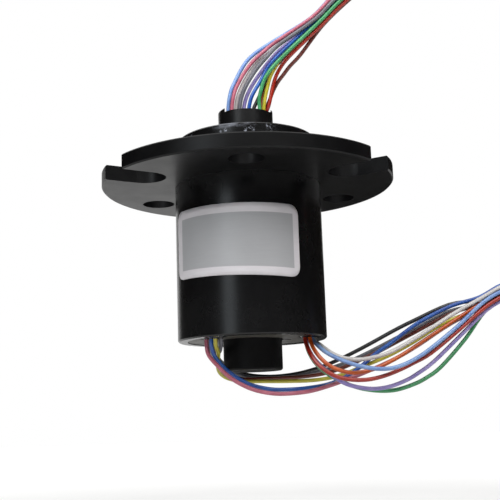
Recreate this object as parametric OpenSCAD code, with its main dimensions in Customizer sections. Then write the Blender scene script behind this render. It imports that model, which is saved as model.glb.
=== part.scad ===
// Twelve-circuit flanged slip ring with its flying leads.
// Origin at the centre of the flange's underside, +Z up along the shaft.

/* [Housing] */
// Outside diameter of the body below the flange
body_d = 22; // [21:0.5:30]
// Length of the body below the flange's underside
body_len = 23.2; // [23:0.1:30]
// Wall of the body round the ring chamber
body_wall = 1.8; // [1.2:0.1:2]
// Wall of the body round the end cap
mouth_wall = 1.4; // [0.8:0.1:1.6]
// Diameter of the boss that stands above the flange
boss_d = 21.2; // [16:0.1:21.6]
// Height of the boss's top over the flange's underside
boss_top = 7.2; // [6.6:0.1:9]
// Thickness of the lip over the upper bearing
lip_t = 0.7; // [0.5:0.1:1.2]
// Edge chamfers of the housing and the flange
edge = 0.2; // [0.1:0.05:0.4]

/* [Flange] */
// Outside diameter of the flange
flange_d = 44; // [40:0.5:56]
// Thickness of the flange
flange_t = 2.2; // [1.6:0.1:4]
// Depth of the seat that takes the shoulder of the body
seat_t = 0.8; // [0.4:0.1:1.2]
// Diameter of the three round fixing holes
hole_d = 5; // [3:0.1:6]
// Pitch circle of the round holes
hole_pcd = 33.4; // [31:0.1:34]
// Width of the three open slots
slot_w = 6.2; // [4.4:0.1:7]
// Distance from the axis to the bottom of each slot
slot_root = 13.9; // [12.5:0.1:16]
// Number of round holes, and of slots between them
fix_n = 3; // [3:1:4]

/* [Shaft] */
// Outside diameter of the rotor tube
tube_d = 6; // [5.6:0.1:6.4]
// Bore of the rotor tube
tube_bore = 4.6; // [4.2:0.1:4.8]
// Diameter of the collar on top
collar_d = 8.4; // [8:0.1:8.8]
// Height of the collar over the boss
collar_rise = 4.9; // [4:0.1:8]
// Bore of the cup in the collar
cup_d = 7.4; // [7:0.1:7.6]
// Depth of the cup below the collar's rim
cup_depth = 3.5; // [2.6:0.1:4]
// Thickness of the potting in the cup
pot_t = 1.8; // [1:0.1:2.2]
// Depth of the notch in the rim where the leads lean out
notch_depth = 0.7; // [0.3:0.1:0.9]
// Width of that notch
notch_w = 7; // [4:0.1:7.4]
// Sideways shift of the notch from the axis
notch_shift = 0.4; // [0:0.1:0.6]
// Diameter of the shaft end below the body
stub_d = 8.7; // [8:0.1:9]
// Length of the shaft end below the body
stub_len = 4.4; // [3:0.1:8]

/* [Bearings] */
// Outside diameter of both bearings
bearing_od = 10; // [9.6:0.1:10.4]
// Width of both bearings
bearing_w = 3; // [2.6:0.1:3.2]
// Diameter of the balls
ball_d = 1.2; // [1:0.05:1.3]
// Balls in each bearing
ball_n = 10; // [6:1:12]

/* [Ring stack] */
// Number of circuits
ring_n = 12; // [4:1:12]
// Outside diameter of the rings
ring_d = 9.6; // [9:0.1:9.8]
// Width of a ring
ring_w = 0.8; // [0.6:0.05:0.9]
// Depth of the groove that guides the brushes
groove = 0.15; // [0.05:0.01:0.2]
// Outside diameter of the barriers between the rings
barrier_d = 10.8; // [10.2:0.1:11.2]
// Thickness of a barrier
barrier_w = 0.7; // [0.5:0.05:0.75]

/* [Brushes] */
// Diameter of a brush wire
brush_d = 0.25; // [0.15:0.01:0.3]
// Distance from the axis to the inner face of a brush board
board_y = 6.1; // [6:0.05:6.4]
// Thickness of a brush board
board_t = 1; // [0.8:0.05:1.1]

/* [End cap] */
// Thickness of the end cap's plate
cap_t = 1.5; // [1.2:0.1:1.8]
// Recess of the end cap in the mouth of the body
cap_recess = 0.1; // [0:0.05:0.3]
// Wall of the end cap's bearing seat
seat_wall = 0.9; // [0.8:0.05:0.95]
// Width of a lead window across the radius
window_w = 2.1; // [1.8:0.05:2.2]
// Length of a lead window along the rim
window_len = 5.2; // [4.8:0.1:6]
// Angle of the first lead window and its brush board
window_angle = 227; // [220:1:234]

/* [Label] */
// Thickness of the foil label
label_t = 0.1; // [0.05:0.01:0.2]
// Height of the label
label_h = 10.2; // [6:0.1:12]
// Drop of the label's top edge below the flange
label_drop = 4.7; // [3:0.1:6]
// Angle at which the label starts
label_from = 201; // [180:1:210]
// Angle that the label covers
label_sweep = 108.5; // [60:0.5:150]
// Radius of the label's corners
label_corner = 1.3; // [0.6:0.1:2]

/* [Leads] */
// Diameter of a lead over its insulation
lead_d = 0.6; // [0.5:0.02:0.64]
// Radius at the middle of the stowed coils
coil_r = 16.5; // [15:0.5:18]
// Half thickness of a stowed coil
coil_half = 1.45; // [1.4:0.05:1.8]
// Width of the band round a coil
tie_w = 4; // [2.5:0.5:6]
// Thickness of the band round a coil
tie_t = 0.5; // [0.3:0.1:0.8]

/* [Hidden] */
$fn = 72;
fit = 0.02;        // between pieces fixed to each other
run = 0.03;        // between pieces that run on each other
gap = 0.3;         // between the shaft and what it turns in
step = 0.05;       // between two faces that would else fall together
wire_clear = 0.12; // round a wire where it leaves the tube
board_slack = 0.24; // between a brush board's long edges and the wall
seat_dip = 0.4;    // how far the lower bearing sits in the end cap's plate
cage_t = 0.5;      // wall of a ball cage

body_r = body_d / 2;
boss_r = boss_d / 2;
flange_r = flange_d / 2;
chamber_r = body_r - body_wall;
mouth_r = body_r - mouth_wall;
body_bottom = -body_len;

stub_r = stub_d / 2;
collar_r = collar_d / 2;
tube_r = tube_d / 2;
cup_r = cup_d / 2;
stub_bottom = body_bottom - stub_len;
collar_top = boss_top + collar_rise;
cup_floor = collar_top - cup_depth;
pot_top = cup_floor + pot_t;
tube_bottom = (body_bottom + stub_bottom) / 2 + 1;

bearing_r = bearing_od / 2;
pitch_r = (tube_r + bearing_r) / 2;
race_t = 0.3 * (bearing_r - tube_r);
foot_r = tube_r + race_t - step;
ball_r = ball_d / 2;
upper_top = boss_top - lip_t;
upper_bottom = upper_top - bearing_w;
cap_bottom = body_bottom + cap_recess;
cap_top = cap_bottom + cap_t;
lower_bottom = cap_top - seat_dip;
lower_top = lower_bottom + bearing_w;

ring_r = ring_d / 2;
barrier_r = barrier_d / 2;
pitch = ring_w + barrier_w;
stack_len = ring_n * pitch + barrier_w;
stack_bottom = (lower_top + upper_bottom - stack_len) / 2;
function ring_z(i) = stack_bottom + barrier_w + ring_w / 2 + i * pitch;
function wire_angle(i) = i * 360 / ring_n;
wire_r = lead_d / 2 - fit;
wire_row = tube_bore / 2 - wire_r - 0.2;

board_half = sqrt(pow(chamber_r - board_slack, 2) - pow(board_y + board_t, 2));
brush_x = ring_r - groove + brush_d / 2 + run;
window_r = chamber_r - window_w / 2 + step;
lead_row = board_y + board_t + lead_d / 2 + step;
window_angles = [window_angle, window_angle + 120];
half_n = ceil(ring_n / 2);

lead_names = ["light_blue", "pink", "white", "grey", "violet", "blue", "black",
               "green", "yellow", "orange", "red", "brown"];
lead_shades = [["light_blue", "#7fb2e6"], ["pink", "#d98a93"], ["white", "#d9d6cf"],
               ["grey", "#77777f"], ["violet", "#a48fc4"], ["blue", "#1c4fae"],
               ["black", "#1b1b1d"], ["green", "#2e8b57"], ["yellow", "#d6c62a"],
               ["orange", "#dc6a1e"], ["red", "#c4301c"], ["brown", "#6b2a1a"]];

// Each lead: its place in the bundle and the points of its own route, in mm.
rotor_routes = [
  ["light_blue", 0, [[-2.6, -1.9, 10.4], [-2.6, -2, 11.8], [-2.4, -2.2, 13.5],
    [-2, -2.2, 15.1], [-1.3, -2, 16.7], [-0.5, -1.8, 18.3], [0.6, -1.6, 20],
    [2.2, -1.3, 21.5], [4.7, -1, 23.2]]],
  ["pink", 8, [[-2, -2.5, 10.4], [-2, -2.6, 11.8], [-1.8, -2.7, 13.4],
    [-1.4, -2.6, 14.9], [-0.8, -2.5, 16.2], [0, -2.4, 17.6], [1.2, -2.2, 19.3],
    [2.8, -2, 20.9], [5.2, -1.7, 22.9]]],
  ["white", 1, [[-1.4, -1.8, 10.4], [-1.4, -1.9, 12], [-1.1, -1.9, 13.9],
    [-0.4, -1.8, 15.7], [0.4, -1.7, 17.2], [1.4, -1.5, 18.8], [2.9, -1.2, 20.5],
    [5.6, -0.6, 22.8]]],
  ["grey", 7, [[-0.8, -2.5, 10.4], [-0.8, -2.6, 12], [-0.5, -2.7, 13.6],
    [0.2, -2.8, 15.3], [1.2, -2.8, 17], [2.2, -2.8, 18.4], [3.3, -2.7, 19.7],
    [5.7, -2.4, 22.2]]],
  ["violet", 9, [[-0.2, -1.9, 10.4], [-0.2, -1.9, 12.1], [0.2, -1.9, 13.8],
    [0.9, -1.9, 15.3], [1.8, -1.8, 16.8], [2.8, -1.7, 18.2], [3.9, -1.5, 19.7],
    [6.1, -1.1, 22.1]]],
  ["blue", 11, [[0.5, -2.5, 10.4], [0.6, -2.6, 12], [1, -2.6, 13.6],
    [1.6, -2.5, 14.8], [2.3, -2.3, 16], [3.1, -2.1, 17.5], [4.1, -2.1, 19.1],
    [6.6, -1.9, 21.7]]],
  ["black", 3, [[1.2, -1.8, 10.4], [1.3, -1.8, 12], [1.8, -1.6, 13.2],
    [2.4, -1.4, 14.5], [2.9, -1.2, 15.8], [3.5, -1.1, 17.3], [4.5, -0.9, 18.8],
    [7.1, -0.3, 21.4]]],
  ["green", 6, [[2.1, -2.4, 10.4], [2.2, -2.5, 11.8], [2.2, -2.7, 13.3],
    [2.5, -2.8, 14.6], [2.9, -2.9, 15.9], [3.6, -2.9, 17.2], [4.7, -2.8, 18.6],
    [7.2, -2.5, 21.2]]],
  ["yellow", 10, [[2.6, -1.7, 10.4], [2.8, -1.9, 11.9], [3.1, -2.1, 13.7],
    [3.5, -2.2, 15.3], [4, -2.2, 17], [4.8, -2, 18.5], [5.8, -1.7, 20.1],
    [7.4, -1.4, 21.8]]],
  ["orange", 2, [[2.1, -1, 10.4], [2.3, -0.9, 12], [2.6, -0.6, 13.8],
    [3, -0.4, 15.5], [3.6, -0.3, 17.2], [4.3, -0.1, 18.7], [5.2, 0, 20.3],
    [6.9, 0.2, 22]]],
  ["red", 5, [[3.1, -0.9, 10.4], [3.1, -1.1, 11.4], [3.6, -1.5, 12.5],
    [4, -1.6, 14], [4.3, -1.6, 15.4], [4.8, -1.6, 17], [5.5, -1.6, 18.4],
    [6.5, -1.6, 19.8], [8.1, -1.7, 21.4]]],
  ["brown", 4, [[2.8, -0.1, 10.4], [3.1, -0.4, 12.2], [3.8, -0.7, 13.7],
    [4.3, -0.8, 15], [5.1, -0.8, 16.5], [6.1, -0.8, 17.8], [7.2, -0.8, 19.2],
    [8.9, -0.8, 21]]]];
rotor_run = [[11.5, -0.8, 26.2], [14.8, -0.5, 29.6], [18.6, -0.3, 32.8],
  [23, -0.1, 35.4], [28, 0, 36.6], [33, 0, 36.2], [37.6, 0, 34.2],
  [41.4, 0, 31], [44.2, 0, 26.8], [45.6, 0, 22.4], [46, 0, 18]];

stator_routes = [
  ["pink", 10, [[-6.5, -5.7, -23], [-6.5, -5.8, -24.2], [-6.2, -6.1, -25.6],
    [-4.9, -6, -27.2], [-3.5, -5.9, -28.6], [-1.7, -5.8, -29.8], [0.4, -5.6, -30.7],
    [3, -5.2, -31.2], [5.6, -4.6, -31.2], [8.2, -3.4, -30.9], [10.9, -2.1, -30.2],
    [13.4, -1.3, -29.4], [16, -0.8, -28.5], [18.8, -0.6, -27.4], [21.5, -0.5, -26.2],
    [24.6, -0.4, -24.5], [29.4, -0.2, -21.6]]],
  ["blue", 0, [[-5.8, -6.3, -23], [-5.8, -6.3, -24.2], [-5.5, -5.9, -25.5],
    [-4.6, -5.1, -26.8], [-3, -4.7, -28.3], [-0.7, -4.5, -29.7], [2.3, -4.2, -30.5],
    [5.2, -3.5, -30.6], [8, -2.2, -30.4], [10.9, -0.7, -29.9], [13.5, 0, -28.9],
    [15.9, 0.4, -27.4], [17.9, 0.7, -25.8], [20.5, 0.8, -24.1], [22.8, 0.8, -22.5],
    [25.2, 0.7, -21], [29.8, 0.4, -18.9]]],
  ["yellow", 3, [[-5.2, -7, -23], [-5.2, -6.5, -24.2], [-4.9, -5.2, -25.3],
    [-5.1, -3.9, -26.6], [-4.9, -1.8, -27.8], [-3.7, 0.4, -28.6], [-1.6, 1.4, -29],
    [1.5, 1.5, -29.1], [5, 1.4, -29.2], [8.5, 1.4, -29.2], [11.4, 1.4, -28.9],
    [13.8, 1.4, -28.3], [15.9, 1.4, -27.5], [18.4, 1.3, -26.6], [20.6, 1.2, -25.7],
    [23.8, 1.1, -24.1], [29, 0.9, -21.2]]],
  ["brown", 9, [[-5.1, -5.8, -23], [-5.3, -5.2, -24.1], [-5.6, -3.8, -25.2],
    [-5.6, -1.4, -26], [-5.1, 1.3, -26.9], [-3.9, 3.3, -27.9], [-1.4, 3.4, -28.6],
    [2, 3.2, -28.6], [5.5, 3, -28.6], [9, 2.9, -28.4], [11.8, 2.7, -27.9],
    [14.2, 2.4, -27.1], [16.4, 2.2, -26.2], [18.8, 2.1, -25.2], [21.5, 1.9, -23.9],
    [24.8, 1.6, -22.3], [29.4, 1, -20.1]]],
  ["grey", 2, [[-4.5, -6.4, -23], [-4.5, -5.7, -24], [-4.7, -4.2, -24.8],
    [-5.1, -1.5, -25], [-5.2, 1.6, -25.5], [-4.3, 3.9, -26.4], [-2.3, 4.9, -27.8],
    [0.6, 4.8, -28.5], [4, 4.6, -28.5], [7.6, 4.4, -28.2], [11, 4, -27.5],
    [14, 3.7, -26.6], [17, 3.4, -25.4], [20, 3, -24], [23.4, 2.6, -22.4],
    [29.2, 1.9, -19.7]]],
  ["black", 1, [[-5.8, -5.7, -23], [-6, -4.9, -24], [-6.2, -3.3, -24.8],
    [-6.2, 0, -24.9], [-5.8, 3.2, -25.4], [-4.2, 5.5, -26.7], [-1, 6.1, -27.8],
    [2.4, 5.9, -28.2], [6, 5.7, -28], [9.4, 5.4, -27.3], [12.6, 5, -26.2],
    [15.6, 4.5, -24.9], [18.5, 3.8, -23.5], [21.5, 3, -22], [24.4, 2.4, -20.7],
    [29.6, 1.4, -18.6]]],
  ["white", 8, [[8.7, -1.1, -23], [9.2, -1.4, -23.7], [9.9, -2, -24.3],
    [10.5, -2.7, -24.9], [11.2, -3.3, -25.5], [12.2, -3.7, -26.1], [13.5, -3.9, -26.5],
    [15.2, -4, -26.7], [17, -3.9, -26.5], [19.1, -3.5, -26], [21.2, -3, -25.1],
    [23.1, -2.4, -24.1], [25.4, -1.8, -22.8], [29.8, -1, -20.2]]],
  ["light_blue", 7, [[8.6, -1.9, -23], [9, -2.6, -23.9], [9.6, -3.6, -24.7],
    [10.4, -4.4, -25.5], [11.6, -5.1, -26.3], [13.2, -5.8, -27.1], [15.2, -6.1, -27.8],
    [17.3, -6.1, -28.2], [19.4, -5.9, -28.2], [21.3, -5.5, -27.7], [23.3, -4.7, -26.8],
    [25.6, -3.7, -25.4], [30, -2, -22.2]]],
  ["red", 6, [[7.6, -2.5, -23], [7.7, -3.4, -24.1], [8.1, -4.8, -25.5],
    [8.9, -5.7, -27], [10.1, -6.1, -28.2], [11.4, -6.2, -29], [13, -6.2, -29.5],
    [14.7, -6, -29.7], [16.6, -5.6, -29.6], [18.8, -5.1, -29.1], [21, -4.5, -28.3],
    [23, -3.9, -27.4], [25.6, -3.1, -26.1], [30, -1.8, -22.9]]],
  ["orange", 11, [[8.3, -2.8, -23], [8.4, -3.5, -24], [8.9, -4.5, -25.3],
    [9.7, -5.1, -26.5], [10.8, -5.3, -27.5], [12.2, -5.3, -28.2], [13.9, -5.1, -28.6],
    [15.6, -4.8, -28.5], [17.6, -4.2, -28], [19.9, -3.4, -27], [22, -2.5, -25.9],
    [24.2, -1.6, -24.6], [29.2, -0.9, -21.6]]],
  ["violet", 5, [[7.8, -1.7, -23], [7.9, -2.2, -24.2], [8.3, -3, -25.4],
    [9, -3.5, -26.6], [10.2, -3.7, -27.9], [11.6, -3.8, -29.1], [13.2, -3.8, -30.1],
    [15.3, -3.8, -30.7], [17.4, -3.7, -30.9], [19.6, -3.5, -30.6], [21.9, -3.1, -29.8],
    [23.6, -2.7, -28.9], [26.2, -2, -27.2], [30.6, -1.1, -23.4]]],
  ["green", 4, [[7.9, -0.9, -23], [7.9, -1.2, -24.2], [8.3, -1.8, -25.6],
    [9.1, -2.3, -27], [10.4, -2.6, -28.3], [12.1, -2.8, -29.4], [14, -2.8, -30.3],
    [16, -2.8, -30.9], [18.3, -2.7, -31.2], [20.5, -2.5, -31.1], [23, -2.1, -30.4],
    [25, -1.7, -29.5], [27.4, -1.2, -27.9], [31.4, -0.2, -23.9]]]];
stator_run = [[34.4, 0, -18.8], [38, 0, -17], [41.6, 0, -16.4], [44.8, 0, -17.4],
  [47, 0, -20], [47.9, 0, -24], [48, 0, -28], [48, 0, -32], [48, 0, -36]];

// Where a lead lies in a bundle of twelve: nine round three.
function cell(k) = k < 9
  ? 1.1 * [cos(40 * k), sin(40 * k)]
  : 0.42 * [cos(60 + 120 * (k - 9)), sin(60 + 120 * (k - 9))];

function unit(v) = v / norm(v);
function way(p, i) = p[min(i + 1, len(p) - 1)] - p[max(i - 1, 0)];
function beside(bundle, k) = [for (i = [0 : len(bundle) - 1])
  let (t = unit([way(bundle, i)[0], 0, way(bundle, i)[2]]), c = cell(k))
  bundle[i] + c[0] * [-t[2], 0, t[0]] + [0, c[1], 0]];

// Sideways directions carried along a route without twist.
function flat_to(v, t) = unit(v - (v * t) * t);
function sides(p, t, i = 0, v = [0, 1, 0], out = []) = i == len(p)
  ? out
  : let (w = flat_to(v, t[i])) sides(p, t, i + 1, w, concat(out, [w]));

module tube(p, r, n = 8) {
  m = len(p);
  t = [for (i = [0 : m - 1]) unit(way(p, i))];
  s = sides(p, t, 0, [0.2, 1, 0.1]);
  pts = [for (i = [0 : m - 1], k = [0 : n - 1])
    p[i] + r * (cos(360 * k / n) * s[i] + sin(360 * k / n) * cross(t[i], s[i]))];
  walls = [for (i = [0 : m - 2], k = [0 : n - 1])
    let (a = i * n + k, b = i * n + (k + 1) % n) each [[b + n, b, a], [a + n, b + n, a]]];
  polyhedron(pts, concat([[for (k = [0 : n - 1]) k]], [for (w = walls) w],
    [[for (k = [n - 1 : -1 : 0]) (m - 1) * n + k]]));
}

module lead(routes, bundle, name) {
  row = [for (q = routes) if (q[0] == name) q][0];
  shade = [for (q = lead_shades) if (q[0] == name) q[1]][0];
  color(shade) tube(concat(row[2], beside(bundle, row[1])), lead_d / 2);
}

module ring(r1, r2, z1, z2) {
  translate([0, 0, z1])
    difference() {
      cylinder(r = r2, h = z2 - z1);
      translate([0, 0, -1]) cylinder(r = r1, h = z2 - z1 + 2);
    }
}

module housing() {
  color("#1a1b1d") rotate_extrude() polygon([
    [mouth_r, body_bottom], [body_r - edge, body_bottom], [body_r, body_bottom + edge],
    [body_r, seat_t], [boss_r, seat_t], [boss_r, boss_top - edge],
    [boss_r - edge, boss_top], [collar_r + gap, boss_top], [collar_r + gap, upper_top],
    [bearing_r + fit, upper_top], [bearing_r + fit, upper_bottom],
    [chamber_r, upper_bottom], [chamber_r, cap_top], [mouth_r, cap_top]]);
}

module flange() {
  color("#1c1d1f") difference() {
    rotate_extrude() polygon([
      [body_r + fit, 0], [flange_r - edge, 0], [flange_r, edge],
      [flange_r, flange_t - edge], [flange_r - edge, flange_t],
      [boss_r + fit, flange_t], [boss_r + fit, seat_t], [body_r + fit, seat_t]]);
    for (i = [0 : fix_n - 1]) rotate(30 + i * 360 / fix_n) {
      translate([hole_pcd / 2, 0, -1]) cylinder(d = hole_d, h = flange_t + 2);
      rotate(180 / fix_n) open_slot();
    }
  }
}

module open_slot() {
  translate([slot_root + slot_w / 2, 0, -1]) {
    cylinder(d = slot_w, h = flange_t + 2);
    translate([0, -slot_w / 2, 0]) cube([flange_r, slot_w, flange_t + 2]);
  }
}

module end_cap() {
  color("#b9b9b6") difference() {
    rotate_extrude() polygon([
      [stub_r + gap, cap_bottom], [mouth_r - fit, cap_bottom], [mouth_r - fit, cap_top],
      [bearing_r + seat_wall, cap_top], [bearing_r + seat_wall, lower_top],
      [bearing_r + fit, lower_top], [bearing_r + fit, lower_bottom],
      [stub_r + gap, lower_bottom]]);
    for (a = window_angles) rotate(a) window(0, cap_bottom - 1, cap_top + 1);
    rotate(6) translate([(stub_r + gap + bearing_r + seat_wall) / 2, 0, cap_bottom - 1])
      cylinder(d = 1.1, h = 1.7, $fn = 32);
  }
}

// A round-ended window through the cap, across the radius at angle 0.
module window(inset, z1, z2) {
  w = window_w - 2 * inset;
  run_half = (window_len - window_w) / 2;
  translate([window_r, 0, z1]) {
    translate([-w / 2, -run_half, 0]) cube([w, 2 * run_half, z2 - z1]);
    for (s = [-1, 1]) translate([0, s * run_half, 0]) cylinder(d = w, h = z2 - z1);
  }
}

module lead_seal(a) {
  color("#202022") rotate(a) window(fit, cap_bottom + 2 * step, cap_top);
}

module label() {
  z1 = -label_drop - label_h;
  r1 = body_r + fit;
  away = 0.97 * label_corner;
  turn = asin(away / body_r);
  color("#9d9d9f") difference() {
    rotate(label_from) rotate_extrude(angle = label_sweep)
      translate([r1, z1]) square([label_t, label_h]);
    for (s = [0, 1], t = [0, 1])
      rotate(label_from + (s == 0 ? turn : label_sweep - turn))
        translate([body_r - 2, 0, t == 0 ? z1 + away : -label_drop - away])
          label_cutter(s == 0 ? -1 : 1, t == 0 ? -1 : 1);
  }
}

// Takes one corner of the label away outside a quarter circle.
module label_cutter(sy, sz) {
  big = 2 * label_corner;
  difference() {
    translate([0, min(0, sy * big), min(0, sz * big)]) cube([4, big, big]);
    translate([-1, 0, 0]) rotate([0, 90, 0]) cylinder(r = label_corner, h = 6);
  }
}

module outer_race(z) {
  color("#c9ccd0") rotate_extrude() translate([0, z]) difference() {
    translate([bearing_r - race_t, 0]) square([race_t, bearing_w]);
    translate([pitch_r, bearing_w / 2]) circle(r = ball_r + run, $fn = 48);
  }
}

module inner_race(z) {
  color("#c9ccd0") rotate_extrude() translate([0, z]) difference() {
    translate([tube_r + fit, 0]) square([race_t - fit, bearing_w]);
    translate([pitch_r, bearing_w / 2]) circle(r = ball_r + run, $fn = 48);
  }
}

module balls(z, r) {
  for (i = [0 : ball_n - 1]) rotate(i * 360 / ball_n)
    translate([pitch_r, 0, z + bearing_w / 2]) sphere(r = r, $fn = 32);
}

module cage(z) {
  half = bearing_w / 4;
  color("#c08f3a") difference() {
    ring(pitch_r - cage_t / 2, pitch_r + cage_t / 2, z + bearing_w / 2 - half,
         z + bearing_w / 2 + half);
    balls(z, ball_r + run);
  }
}

module rotor_tube() {
  color("#8f9296") difference() {
    ring(tube_bore / 2, tube_r, tube_bottom, cup_floor);
    for (i = [0 : ring_n - 1]) rotate(wire_angle(i)) translate([0, 0, ring_z(i)])
      rotate([0, 90, 0]) cylinder(r = wire_r + wire_clear, h = tube_r + 1, $fn = 32);
  }
}

module top_collar() {
  color("#1a1b1d") difference() {
    rotate_extrude() polygon([
      [tube_r + fit, upper_top], [foot_r, upper_top], [foot_r, upper_top + gap],
      [collar_r, upper_top + gap], [collar_r, collar_top - edge],
      [collar_r - edge, collar_top], [cup_r, collar_top], [cup_r, cup_floor],
      [tube_r + fit, cup_floor]]);
    translate([notch_shift - notch_w / 2, -collar_r - 1, collar_top - notch_depth])
      cube([notch_w, collar_r + 1, notch_depth + 1]);
  }
}

module shaft_end() {
  color("#1d1d1f") rotate_extrude() polygon([
    [0, stub_bottom], [stub_r - edge, stub_bottom], [stub_r, stub_bottom + edge],
    [stub_r, lower_bottom - gap], [foot_r, lower_bottom - gap], [foot_r, lower_bottom],
    [tube_r + fit, lower_bottom], [tube_r + fit, tube_bottom], [0, tube_bottom]]);
}

module rotor_potting() {
  color("#141416") translate([0, 0, cup_floor]) cylinder(r = cup_r - fit, h = pot_t);
}

module slip_rings() {
  color("#d9a93b") for (i = [0 : ring_n - 1])
    translate([0, 0, ring_z(i)]) rotate_extrude() polygon([
      [tube_r + fit, -ring_w / 2], [ring_r, -ring_w / 2], [ring_r, -brush_d / 2 - step],
      [ring_r - groove, -step], [ring_r - groove, step], [ring_r, brush_d / 2 + step],
      [ring_r, ring_w / 2], [tube_r + fit, ring_w / 2]]);
}

module ring_barriers() {
  color("#e6e2d6") for (i = [0 : ring_n])
    ring(tube_r + fit, barrier_r, stack_bottom + i * pitch,
         stack_bottom + i * pitch + barrier_w);
}

module stack_spacers() {
  color("#b08d4a") {
    ring(tube_r + fit, foot_r, lower_top, stack_bottom);
    ring(tube_r + fit, foot_r, stack_bottom + stack_len, upper_bottom);
  }
}

module rotor_wires() {
  color("#c9772b") for (i = [0 : ring_n - 1]) rotate(wire_angle(i)) {
    translate([wire_row, 0, ring_z(i)]) {
      cylinder(r = wire_r, h = cup_floor - ring_z(i), $fn = 32);
      sphere(r = wire_r, $fn = 32);
      rotate([0, 90, 0]) cylinder(r = wire_r, h = tube_r - wire_row, $fn = 32);
    }
  }
}

module brush_board(a) {
  color("#2f6b3c") rotate(a) translate([board_y, -board_half, cap_top])
    cube([board_t, 2 * board_half, upper_bottom - gap - cap_top]);
}

module brushes(a, first) {
  color("#d6a73a") rotate(a) for (i = [first : 2 : ring_n - 1], s = [-1, 1])
    translate([-0.6, s * brush_x, ring_z(i)]) rotate([0, 90, 0])
      cylinder(d = brush_d, h = board_y + 0.6, $fn = 24);
}

module stator_wires() {
  color("#8a3324") for (k = [0, 1], i = [0 : half_n - 1])
    let (ring_i = min(2 * i + k, ring_n - 1))
      rotate(window_angles[k])
        translate([lead_row, (i - (half_n - 1) / 2) * (lead_d + 0.2), cap_top])
          cylinder(r = wire_r, h = ring_z(ring_i) - cap_top, $fn = 32);
}

module coil_profile(grow) {
  half = coil_half + grow;
  for (s = [-1, 1]) translate([coil_r, s * (coil_half - step)]) circle(r = half);
  translate([coil_r - half, -coil_half + step])
    square([2 * half, 2 * coil_half - 2 * step]);
}

// A stowed coil stands in the XZ plane, its leftmost point at the end of the run.
module coil(end, shade) {
  color(shade) translate(end + [coil_r, coil_half, 0]) rotate([90, 0, 0])
    rotate_extrude($fn = 96) coil_profile(0);
}

module coil_band(end) {
  turn = tie_w / coil_r * 180 / PI;
  color("#222224") translate(end + [coil_r, coil_half, 0]) rotate([90, 0, 0])
    rotate(-turn / 2) rotate_extrude(angle = turn) difference() {
      coil_profile(fit + tie_t);
      coil_profile(fit);
    }
}

rotor_end = rotor_run[len(rotor_run) - 1];
stator_end = stator_run[len(stator_run) - 1];

housing();
flange();
end_cap();
lead_seal(window_angles[0]);  // lead_seal_left
lead_seal(window_angles[1]);  // lead_seal_right
label();
outer_race(upper_bottom);  // upper_outer_race
inner_race(upper_bottom);  // upper_inner_race
color("#e2e4e8") balls(upper_bottom, ball_r);  // upper_balls
cage(upper_bottom);  // upper_cage
outer_race(lower_bottom);  // lower_outer_race
inner_race(lower_bottom);  // lower_inner_race
color("#e2e4e8") balls(lower_bottom, ball_r);  // lower_balls
cage(lower_bottom);  // lower_cage
rotor_tube();
top_collar();
shaft_end();
rotor_potting();
slip_rings();
ring_barriers();
stack_spacers();
rotor_wires();
brush_board(window_angles[0]);  // brush_board_left
brush_board(window_angles[1]);  // brush_board_right
brushes(window_angles[0], 0);  // brushes_left
brushes(window_angles[1], 1);  // brushes_right
stator_wires();
coil(rotor_end, "#8c6f86");  // rotor_coil
coil_band(rotor_end);  // rotor_coil_band
coil(stator_end, "#7c6a6a");  // stator_coil
coil_band(stator_end);  // stator_coil_band
for (c = lead_names) {
  lead(rotor_routes, rotor_run, c);
  lead(stator_routes, stator_run, c);
}
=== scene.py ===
from math import cos, pi, radians, sin, sqrt

import bmesh
import bpy
from mathutils import Matrix, Vector


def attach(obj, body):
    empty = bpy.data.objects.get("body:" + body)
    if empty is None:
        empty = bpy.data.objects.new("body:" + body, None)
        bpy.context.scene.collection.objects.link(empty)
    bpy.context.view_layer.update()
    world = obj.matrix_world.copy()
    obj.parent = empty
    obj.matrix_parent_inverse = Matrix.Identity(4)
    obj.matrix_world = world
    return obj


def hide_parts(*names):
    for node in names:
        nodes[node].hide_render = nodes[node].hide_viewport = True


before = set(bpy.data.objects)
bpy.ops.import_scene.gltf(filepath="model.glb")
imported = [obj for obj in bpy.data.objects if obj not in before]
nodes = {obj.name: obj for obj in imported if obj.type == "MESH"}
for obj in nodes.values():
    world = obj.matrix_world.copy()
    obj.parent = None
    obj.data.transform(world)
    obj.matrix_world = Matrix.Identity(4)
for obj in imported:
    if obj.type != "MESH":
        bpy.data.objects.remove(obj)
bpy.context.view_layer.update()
print("frame loaded:", len(nodes), "nodes")

# angles in degrees, lens and sensor in millimetres
camera = {"place": (0.000735, -0.14109, -0.03568), "turn": 0.28, "tilt": 10.51, "roll": -1.84,
          "lens": 68.6, "sensor": 36, "nearest": 0.005}


def link(obj):
    bpy.context.scene.collection.objects.link(obj)
    return obj


def makeCamera():
    data = bpy.data.cameras.new("camera")
    data.lens = camera["lens"]
    data.sensor_width = camera["sensor"]
    data.clip_start = camera["nearest"]
    cam = link(bpy.data.objects.new("camera", data))
    cam.matrix_world = (Matrix.Translation(camera["place"])
                        @ Matrix.Rotation(radians(camera["turn"]), 4, "Z")
                        @ Matrix.Rotation(radians(90 + camera["tilt"]), 4, "X")
                        @ Matrix.Rotation(radians(camera["roll"]), 4, "Z"))
    bpy.context.scene.camera = cam


makeCamera()
print("camera placed")


def tone(red, green, blue):
    # a screen colour, 0 to 255, as the shader wants it
    shares = [part / 255 for part in (red, green, blue)]
    return tuple(s / 12.92 if s < 0.04045 else ((s + 0.055) / 1.055) ** 2.4
                 for s in shares) + (1,)


def addMaterial(name):
    material = bpy.data.materials.new(name)
    material.use_nodes = True
    tree = material.node_tree
    return material, tree, tree.nodes["Principled BSDF"]


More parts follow.
